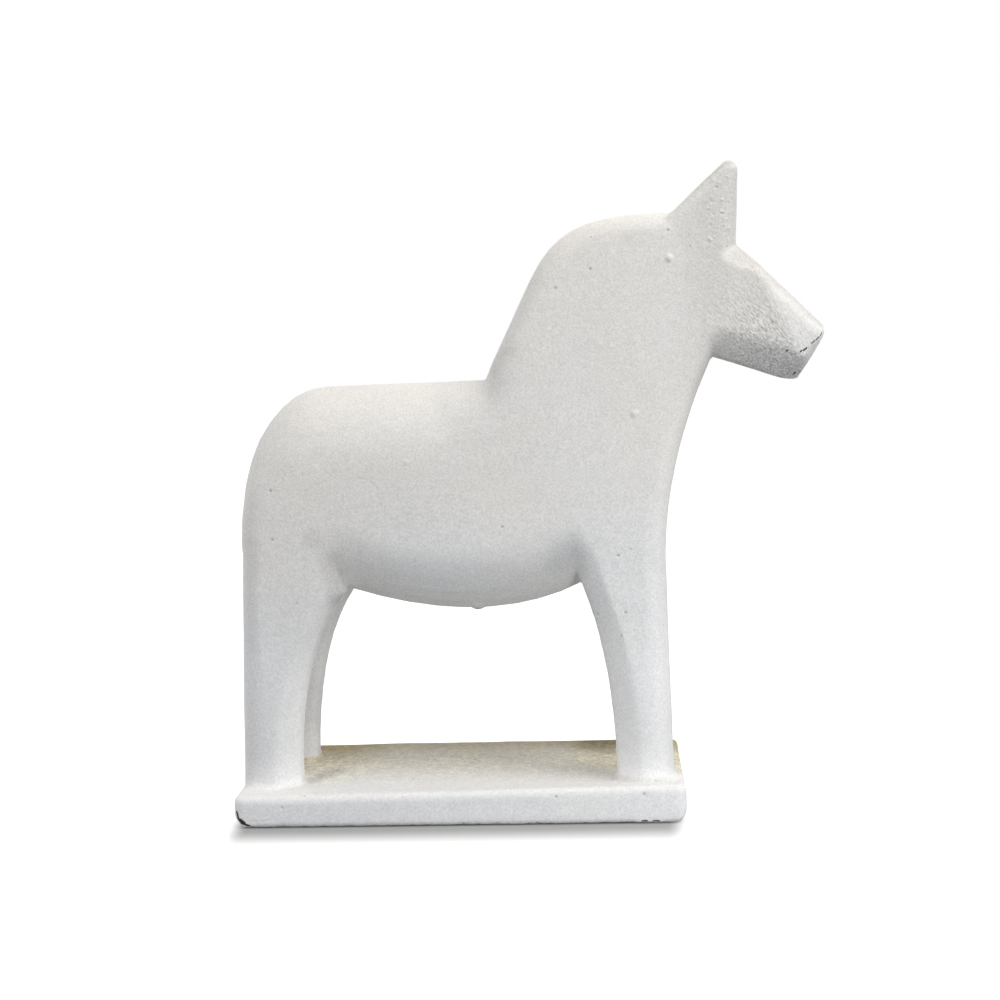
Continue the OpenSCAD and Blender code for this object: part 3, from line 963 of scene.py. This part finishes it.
@dataclass(frozen=True)
class HorseCasting:
    """Horse and plinth, poured in one piece and painted."""

    node: str = "casting"
    slot: str = "painted_concrete"
    weld: float = 0.002 * MM
    hole_reach: float = 1.3
    bed_drop: float = 3 * MM
    steel_film: float = 0.3 * MM
    voxel: float = 1.6 * MM
    edge_passes: int = 1
    smoothing: float = 0.5
    soft_areas: tuple[SoftArea, ...] = (
        SoftArea((-100.0, 100.0), (104.0, 142.0), 8),
        SoftArea((-92.0, 60.0), (128.0, 200.0), 10),
        SoftArea((4.0, 42.0), (172.0, 204.0), 36),
        SoftArea((-74.0, -38.0), (84.0, 130.0), 24, 0.9),
    )
    body_half: float = 32 * MM
    body_low: float = 30 * MM
    mark_cuts: int = 3
    mark_margin: float = 0.15
    rim_cuts: int = 2
    rim_reach: float = 1.5
    crease: float = math.radians(60)
    wear: CastingWear = CastingWear()
    seen: PhotoMarks = PhotoMarks()
    unseen: ScatteredMarks = ScatteredMarks()

    def build(self) -> bpy.types.Object:
        """Makes the casting's visible mesh from its CAD node.

        Returns:
            The finished piece, without its material.
        """
        skin, bed = self._skin_and_bed()
        piece = self._remeshed(skin)
        self._cut_bed(piece, bed)
        shape = bmesh.new()
        shape.from_mesh(piece.data)
        bmesh.ops.remove_doubles(shape, verts=shape.verts[:], dist=self.weld)
        self._age(shape)
        shape.to_mesh(piece.data)
        shape.free()
        return piece

    def dress(self, piece: bpy.types.Object, finish: PaintedConcrete) -> None:
        """Paints the piece and sets it in the frame.

        Args:
            piece: The casting's visible mesh.
            finish: Its finish.
        """
        piece.data.materials.clear()
        piece.data.materials.append(finish.material())
        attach(piece, "root")
        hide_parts(self.node)

    def _skin_and_bed(self) -> tuple[Shape, Shape]:
        """Parts the casting's outside from the bed of its steel.

        Returns:
            The outside with its rod holes closed, and the bed as a closed shape for cutting.
        """
        skin = bmesh.new()
        skin.from_mesh(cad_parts[self.node].data)
        bmesh.ops.remove_doubles(skin, verts=skin.verts[:], dist=self.weld)
        skin.faces.index_update()
        outside = self._outside(skin)
        kept = {face.index for face in outside}
        bed = skin.copy()
        bed.faces.ensure_lookup_table()
        bmesh.ops.delete(bed, geom=[face for face in bed.faces if face.index in kept], context="FACES")
        bmesh.ops.delete(skin, geom=[face for face in skin.faces if face not in outside], context="FACES")
        bmesh.ops.holes_fill(skin, edges=open_edges(skin))
        pulled = bmesh.ops.extrude_edge_only(bed, edges=open_edges(bed))
        lower = [item for item in pulled["geom"] if isinstance(item, bmesh.types.BMVert)]
        bmesh.ops.translate(bed, verts=lower, vec=(0.0, 0.0, -self.bed_drop))
        bmesh.ops.holes_fill(bed, edges=open_edges(bed))
        bmesh.ops.recalc_face_normals(bed, faces=bed.faces[:])
        return skin, bed

    def _outside(self, skin: Shape) -> set[bmesh.types.BMFace]:
        """Finds the faces that hang together with the ears, up to the rod holes.

        Args:
            skin: The casting's welded mesh.

        Returns:
            Faces of the outside.
        """
        rims = self._hole_rims(skin)
        queue = list(max(skin.verts, key=lambda vert: vert.co.z).link_faces)
        outside = set(queue)
        while queue:
            for edge in queue.pop().edges:
                for face in () if edge in rims else edge.link_faces:
                    if face not in outside:
                        outside.add(face)
                        queue.append(face)
        return outside

    def _hole_rims(self, skin: Shape) -> set[bmesh.types.BMEdge]:
        """Finds where the rod holes open in the underside.

        Args:
            skin: The casting's welded mesh.

        Returns:
            Edges round the holes.
        """
        holes = []
        for rod in LEG_RODS:
            low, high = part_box(rod)
            middle = Vector(((low.x + high.x) / 2, (low.y + high.y) / 2, 0.0))
            holes.append((middle, self.hole_reach * (high.x - low.x) / 2))
        return {
            edge
            for edge in skin.edges
            if all(
                abs(vert.co.z) < self.weld
                and any((vert.co - middle).length < reach for middle, reach in holes)
                for vert in edge.verts
            )
        }

    def _remeshed(self, skin: Shape) -> bpy.types.Object:
        """Gives the outside an even mesh with soft edges.

        Args:
            skin: The closed outside.

        Returns:
            The new piece.
        """
        surface = BVHTree.FromBMesh(skin)
        piece = new_object("painted_casting", skin)
        remesh = piece.modifiers.new("even_mesh", "REMESH")
        remesh.mode = "VOXEL"
        remesh.voxel_size = self.voxel
        apply_modifiers(piece)
        shape = bmesh.new()
        shape.from_mesh(piece.data)
        for vert in shape.verts:
            vert.co = surface.find_nearest(vert.co)[0]
        shape.normal_update()
        rounds = [shape.verts[:]] * self.edge_passes
        for area in self.soft_areas:
            rounds += area.rounds(shape)
        axes = {"use_axis_x": True, "use_axis_y": True, "use_axis_z": True}
        for verts in rounds:
            bmesh.ops.smooth_vert(shape, verts=verts, factor=self.smoothing, **axes)
        for vert in shape.verts:
            vert.co.z = max(vert.co.z, 0.0)
            if vert.co.z > self.body_low:
                vert.co.y = math.copysign(min(abs(vert.co.y), self.body_half), vert.co.y)
        shape.to_mesh(piece.data)
        shape.free()
        return piece

    def _cut_bed(self, piece: bpy.types.Object, bed: Shape) -> None:
        """Cuts the bed of the steel out of the piece.

        Args:
            piece: The remeshed casting.
            bed: The bed as a closed shape.
        """
        cutter = new_object("steel_bed", bed)
        cut = piece.modifiers.new("steel_bed", "BOOLEAN")
        cut.operation = "DIFFERENCE"
        cut.solver = "MANIFOLD"
        cut.object = cutter
        apply_modifiers(piece)
        mesh = cutter.data
        bpy.data.objects.remove(cutter)
        bpy.data.meshes.remove(mesh)

    def _age(self, shape: Shape) -> None:
        """Adds waves, worn edges, pits, blisters and chips to the outside.

        Args:
            shape: The casting's mesh, changed in place.
        """
        surface = BVHTree.FromBMesh(shape)
        marks = [mark.snapped(surface) for mark in (*self.seen.marks(), *self.unseen.marks(shape))]
        self._refine(shape, marks)
        bare = shape.verts.layers.float.new(BARE)
        mark_shade = shape.verts.layers.float.new(MARK_SHADE)
        shape.normal_update()
        steel = [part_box(node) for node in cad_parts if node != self.node]
        field = MarkField(marks)
        moves = []
        for vert in shape.verts:
            if inside_any(vert.co, steel, self.steel_film):
                continue
            wave, worn = self.wear.at(vert.co, vert.normal)
            # The marks' painted shade goes into a vertex attribute that darkens the paint and bare concrete.
            dent, vert[mark_shade], chipped = field.at(vert.co)
            vert[bare] = max(worn, chipped)
            moves.append((vert, vert.normal * (wave + dent)))
        for vert, move in moves:
            vert.co += move
            self.wear.raise_lip(vert.co)
            self.wear.round_ends(vert.co)
            for axis, (low, high) in enumerate(zip(*CAD_BOX)):
                vert.co[axis] = min(high, max(low, vert.co[axis]))
        for face in shape.faces:
            face.smooth = True
        for edge in shape.edges:
            edge.smooth = edge.calc_face_angle(0.0) < self.crease

    def _refine(self, shape: Shape, marks: Sequence[Mark]) -> None:
        """Makes the mesh finer round the marks and along the plinth's lower rim.

        Args:
            shape: The casting's mesh, changed in place.
            marks: Marks on the surface, in metres.
        """
        shape.faces.ensure_lookup_table()
        surface = BVHTree.FromBMesh(shape)
        margin = self.mark_margin * self.voxel
        near = set()
        for mark in marks:
            # Patches of painted shade have no relief and need no finer mesh.
            if mark.kind is MarkKind.PAINTED_SHADE:
                continue
            for _, _, index, _ in surface.find_nearest_range(Vector(mark.near), mark.radius + margin):
                near.update(shape.faces[index].edges)
        low = self.wear.rim_low
        high = self.rim_reach * self.wear.rim_height
        rim = {
            edge
            for edge in shape.edges
            if edge not in near and all(low < vert.co.z < high for vert in edge.verts)
        }
        bmesh.ops.subdivide_edges(shape, edges=list(near), cuts=self.mark_cuts, use_grid_fill=True)
        rim = [edge for edge in rim if edge.is_valid]
        bmesh.ops.subdivide_edges(shape, edges=rim, cuts=self.rim_cuts, use_grid_fill=True)


def open_edges(shape: Shape) -> list[bmesh.types.BMEdge]:
    """Edges where a shape is open."""
    return [edge for edge in shape.edges if edge.is_boundary]


def inside_any(co: Vector, boxes: Sequence[tuple[Vector, Vector]], film: float) -> bool:
    """Tells whether a point lies in one of the boxes, grown by a film."""
    return any(all(low[i] - film <= co[i] <= high[i] + film for i in range(3)) for low, high in boxes)


def new_object(name: str, shape: Shape) -> bpy.types.Object:
    """Makes an object of a shape and frees the shape.

    Args:
        name: Name of the object and its mesh.
        shape: Its shape in the frame.

    Returns:
        The new object, at the origin.
    """
    mesh = bpy.data.meshes.new(name)
    shape.to_mesh(mesh)
    shape.free()
    made = bpy.data.objects.new(name, mesh)
    bpy.context.scene.collection.objects.link(made)
    return made


def apply_modifiers(piece: bpy.types.Object) -> None:
    """Bakes an object's modifiers into its mesh.

    Args:
        piece: Object to bake, which keeps its mesh's name.
    """
    bpy.context.view_layer.update()
    seen = piece.evaluated_get(bpy.context.evaluated_depsgraph_get())
    mesh = bpy.data.meshes.new_from_object(seen)
    former = piece.data
    name = former.name
    piece.modifiers.clear()
    piece.data = mesh
    bpy.data.meshes.remove(former)
    mesh.name = name


@dataclass(frozen=True)
class Reinforcement:
    """Steel that is cast into the legs and the plinth."""

    stock: dict[SteelStock, tuple[str, ...]]

    def dress(self, finishes: dict[SteelStock, MillSteel]) -> None:
        """Gives each steel node its finish.

        Args:
            finishes: Finish of each kind of steel.
        """
        for kind, nodes in self.stock.items():
            finish = finishes[kind].material()
            for node in nodes:
                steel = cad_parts[node]
                steel.data.materials.clear()
                steel.data.materials.append(finish)
                LOG.info("%s: %d faces, dressed as %s", node, len(steel.data.polygons), kind.value)


@dataclass(frozen=True)
class SoftBox:
    """Large soft lamp that points at a spot on the horse."""

    name: str
    place: Point
    spot: Point
    size: float
    power: float
    tint: Point

    def hang(self) -> None:
        """Adds the lamp to the scene."""
        lamp = bpy.data.lights.new(self.name, "AREA")
        lamp.shape = "DISK"
        lamp.size = self.size
        lamp.energy = self.power
        lamp.color = self.tint
        made = bpy.data.objects.new(self.name, lamp)
        made.location = self.place
        made.rotation_euler = (Vector(self.spot) - Vector(self.place)).to_track_quat("-Z", "Y").to_euler()
        bpy.context.scene.collection.objects.link(made)


@dataclass(frozen=True)
class Studio:
    """White floor and soft light round the horse."""

    floor_size: float = 6.0
    floor_drop: float = 0.1 * MM
    floor_seen: Colour = (1.0, 1.0, 1.0, 1.0)
    floor_shade: Colour = (0.39, 0.39, 0.39, 1.0)
    floor_least: float = 0.04
    floor_bounce: Colour = (0.14, 0.14, 0.14, 1.0)
    shadow_shift: float = 1.2 * MM
    shadow_half: Span = (90.4 * MM, 43 * MM)
    shadow_fade: Span = (13.5 * MM, 33 * MM)
    ambient: Colour = (0.985, 0.985, 1.0, 1.0)
    ambient_strength: float = 0.65
    boxes: tuple[SoftBox, ...] = (
        SoftBox("top_box", (0.05, -0.10, 1.30), (0.0, 0.0, 0.15), 1.0, 1.6, (1.0, 0.93, 0.80)),
        SoftBox("side_box", (0.60, -0.30, 0.90), (0.06, 0.0, 0.05), 0.4, 3.9, (1.0, 0.98, 0.94)),
        SoftBox("toe_card", (0.24, -0.30, 0.02), (0.09, 0.0, 0.05), 0.10, 0.44, (0.94, 0.97, 1.0)),
        SoftBox("heel_card", (-0.20, -0.40, 0.02), (-0.06, 0.0, 0.05), 0.15, 0.24, (0.85, 0.93, 1.0)),
        SoftBox("rear_card", (-0.55, 0.10, 0.12), (-0.09, 0.0, 0.10), 0.25, 0.40, (1.0, 1.0, 0.97)),
    )

    def build(self) -> None:
        """Lays the floor and hangs the lamps."""
        shape = bmesh.new()
        bmesh.ops.create_grid(shape, x_segments=1, y_segments=1, size=self.floor_size)
        bmesh.ops.translate(shape, verts=shape.verts[:], vec=(0.0, 0.0, -self.floor_drop))
        floor = new_object("floor", shape)
        floor.data.materials.append(self._floor_finish())
        self._surround()
        for box in self.boxes:
            box.hang()

    def _floor_finish(self) -> bpy.types.Material:
        """Makes the floor's material.

        Returns:
            Pale floor with a painted shadow round the plinth, over the real one, burning out white beyond
            it.
        """
        made, sheet = new_finish("white_floor")
        along, across, _ = sheet.split(sheet.place())
        # Painted shadow: the glow is held back near the plinth, over a longer reach in front than at the
        # ends.
        beside = ((abs(along + self.shadow_shift) - self.shadow_half[0]) | 0.0) * (1 / self.shadow_fade[0])
        before = ((abs(across) - self.shadow_half[1]) | 0.0) * (1 / self.shadow_fade[1])
        away = ((beside * beside + before * before) ** 0.5).eased(WHOLE)
        shade = sheet.node("ShaderNodeBsdfDiffuse", None, {"Color": self.floor_shade})
        open_floor = sheet.shaded(self.floor_seen, away | self.floor_least)
        glow = sheet.node("ShaderNodeEmission", None, {"Color": open_floor})
        white = sheet.node("ShaderNodeAddShader", None, {0: shade, 1: glow})
        plain = sheet.node("ShaderNodeBsdfDiffuse", None, {"Color": self.floor_bounce})
        mixed = sheet.node("ShaderNodeMixShader", None, {0: self._seen(sheet), 1: plain, 2: white})
        sheet.node("ShaderNodeOutputMaterial", None, {"Surface": mixed})
        return made

    def _surround(self) -> None:
        """Even light from all round, white where the camera sees it."""
        world = bpy.data.worlds.new("white_surround")
        world.use_nodes = True
        bpy.context.scene.world = world
        sheet = NodeSheet(world.node_tree)
        sockets = {"Color": self.ambient, "Strength": self.ambient_strength}
        light = sheet.node("ShaderNodeBackground", None, sockets)
        white = sheet.node("ShaderNodeBackground", None, {"Color": self.floor_seen, "Strength": 1.0})
        mixed = sheet.node("ShaderNodeMixShader", None, {0: self._seen(sheet), 1: light, 2: white})
        sheet.node("ShaderNodeOutputWorld", None, {"Surface": mixed})

    def _seen(self, sheet: NodeSheet) -> Tone:
        """Mask of what the camera sees, directly or in gloss or glass."""
        path = sheet.node("ShaderNodeLightPath", out="Is Camera Ray")
        return path | path.output("Is Glossy Ray") | path.output("Is Transmission Ray")


@dataclass(frozen=True)
class ViewPoint:
    """Camera at the photograph's place, with its angles in degrees and its focal length in pixels."""

    place: Point = (70.0 * MM, -647.71 * MM, 204.19 * MM)
    turn_left: float = 4.385
    look_down: float = 5.945
    tilt: float = -2.177
    focal: float = 1450.0
    frame_width: float = 1000.0
    sensor: float = 36.0
    nearest: float = 10 * MM

    def build(self) -> None:
        """Makes the camera and gives it to the scene."""
        turned = Matrix.Translation(self.place)
        for angle, axis in ((self.turn_left, "Z"), (90 - self.look_down, "X"), (self.tilt, "Z")):
            turned @= Matrix.Rotation(math.radians(angle), 4, axis)
        lens = bpy.data.cameras.new("photo_view")
        lens.sensor_width = self.sensor
        lens.lens = self.focal / self.frame_width * self.sensor
        lens.clip_start = self.nearest
        camera = bpy.data.objects.new("photo_view", lens)
        camera.matrix_world = turned
        bpy.context.scene.collection.objects.link(camera)
        bpy.context.scene.camera = camera


def main() -> None:
    """Builds the horse, its steel, the studio and the camera."""
    logging.basicConfig(level=logging.INFO, format="%(name)s: %(message)s")
    bpy.context.scene.view_settings.view_transform = "Standard"
    ViewPoint().build()
    casting = HorseCasting()
    piece = casting.build()
    casting.dress(piece, PaintedConcrete())
    LOG.info("%s: %d faces", piece.name, len(piece.data.polygons))
    steel = Reinforcement({SteelStock.ROD: (*LEG_RODS, *PLINTH_BARS), SteelStock.WIRE: (TIE_WIRES,)})
    steel.dress(
        {
            SteelStock.ROD: MillSteel("drawn_rod", (0.42, 0.41, 0.40, 1), (0.24, 0.22, 0.20, 1), 0.45),
            SteelStock.WIRE: MillSteel("annealed_wire", (0.20, 0.19, 0.18, 1), (0.10, 0.09, 0.08, 1), 0.55),
        }
    )
    Studio().build()


if __name__ == "__main__":
    main()
